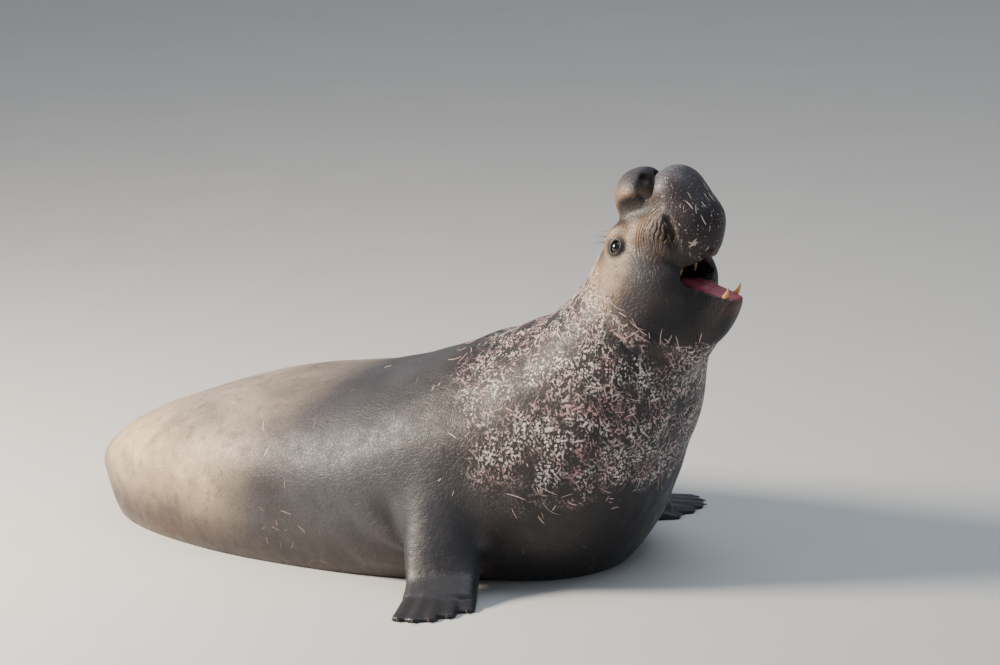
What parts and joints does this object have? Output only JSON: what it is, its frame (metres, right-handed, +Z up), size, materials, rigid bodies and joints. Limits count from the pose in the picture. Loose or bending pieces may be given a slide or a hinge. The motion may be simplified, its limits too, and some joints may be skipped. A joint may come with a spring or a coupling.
{
  "type": "elephant seal",
  "caption": "Life-size still model of a bull elephant seal, reared up on its fore flippers with its head thrown back, its mouth open and its inflated proboscis hanging over the lips.",
  "frame": {"origin": "centre of the bounding box on the floor plane", "axes": "+X towards the seal's front, +Y to the seal's left, +Z up"},
  "size_m": [3.778, 2.2122, 1.621],
  "materials": {
    "hide_rear": "short dry fur, cream to beige",
    "hide_back": "short dark fur, blue-grey",
    "hide_chest": "thick scarred hide, dark brown",
    "hide_face": "short pale fur",
    "hide_nose": "wrinkled grey-brown skin",
    "hide_flipper": "smooth dark skin with a damp sheen",
    "mouth_lining": "wet pink flesh",
    "eye_gloss": "wet black",
    "tooth_ivory": "smooth ivory"
  },
  "bodies": {
    "root": {"hindquarters": "hide_rear", "torso": "hide_back", "tail": "hide_rear", "chest": "hide_chest", "neck": "hide_chest", "head": "hide_face", "proboscis": "hide_nose", "lower_jaw": "hide_chest", "tongue": "mouth_lining", "eye_right": "eye_gloss", "eye_left": "eye_gloss", "lower_canine_right": "tooth_ivory", "lower_canine_left": "tooth_ivory", "upper_canine_right": "tooth_ivory", "upper_canine_left": "tooth_ivory", "fore_flipper_right": "hide_flipper", "fore_flipper_left": "hide_flipper", "hind_flipper_right": "hide_flipper", "hind_flipper_left": "hide_flipper"}
  },
  "joints": []
}
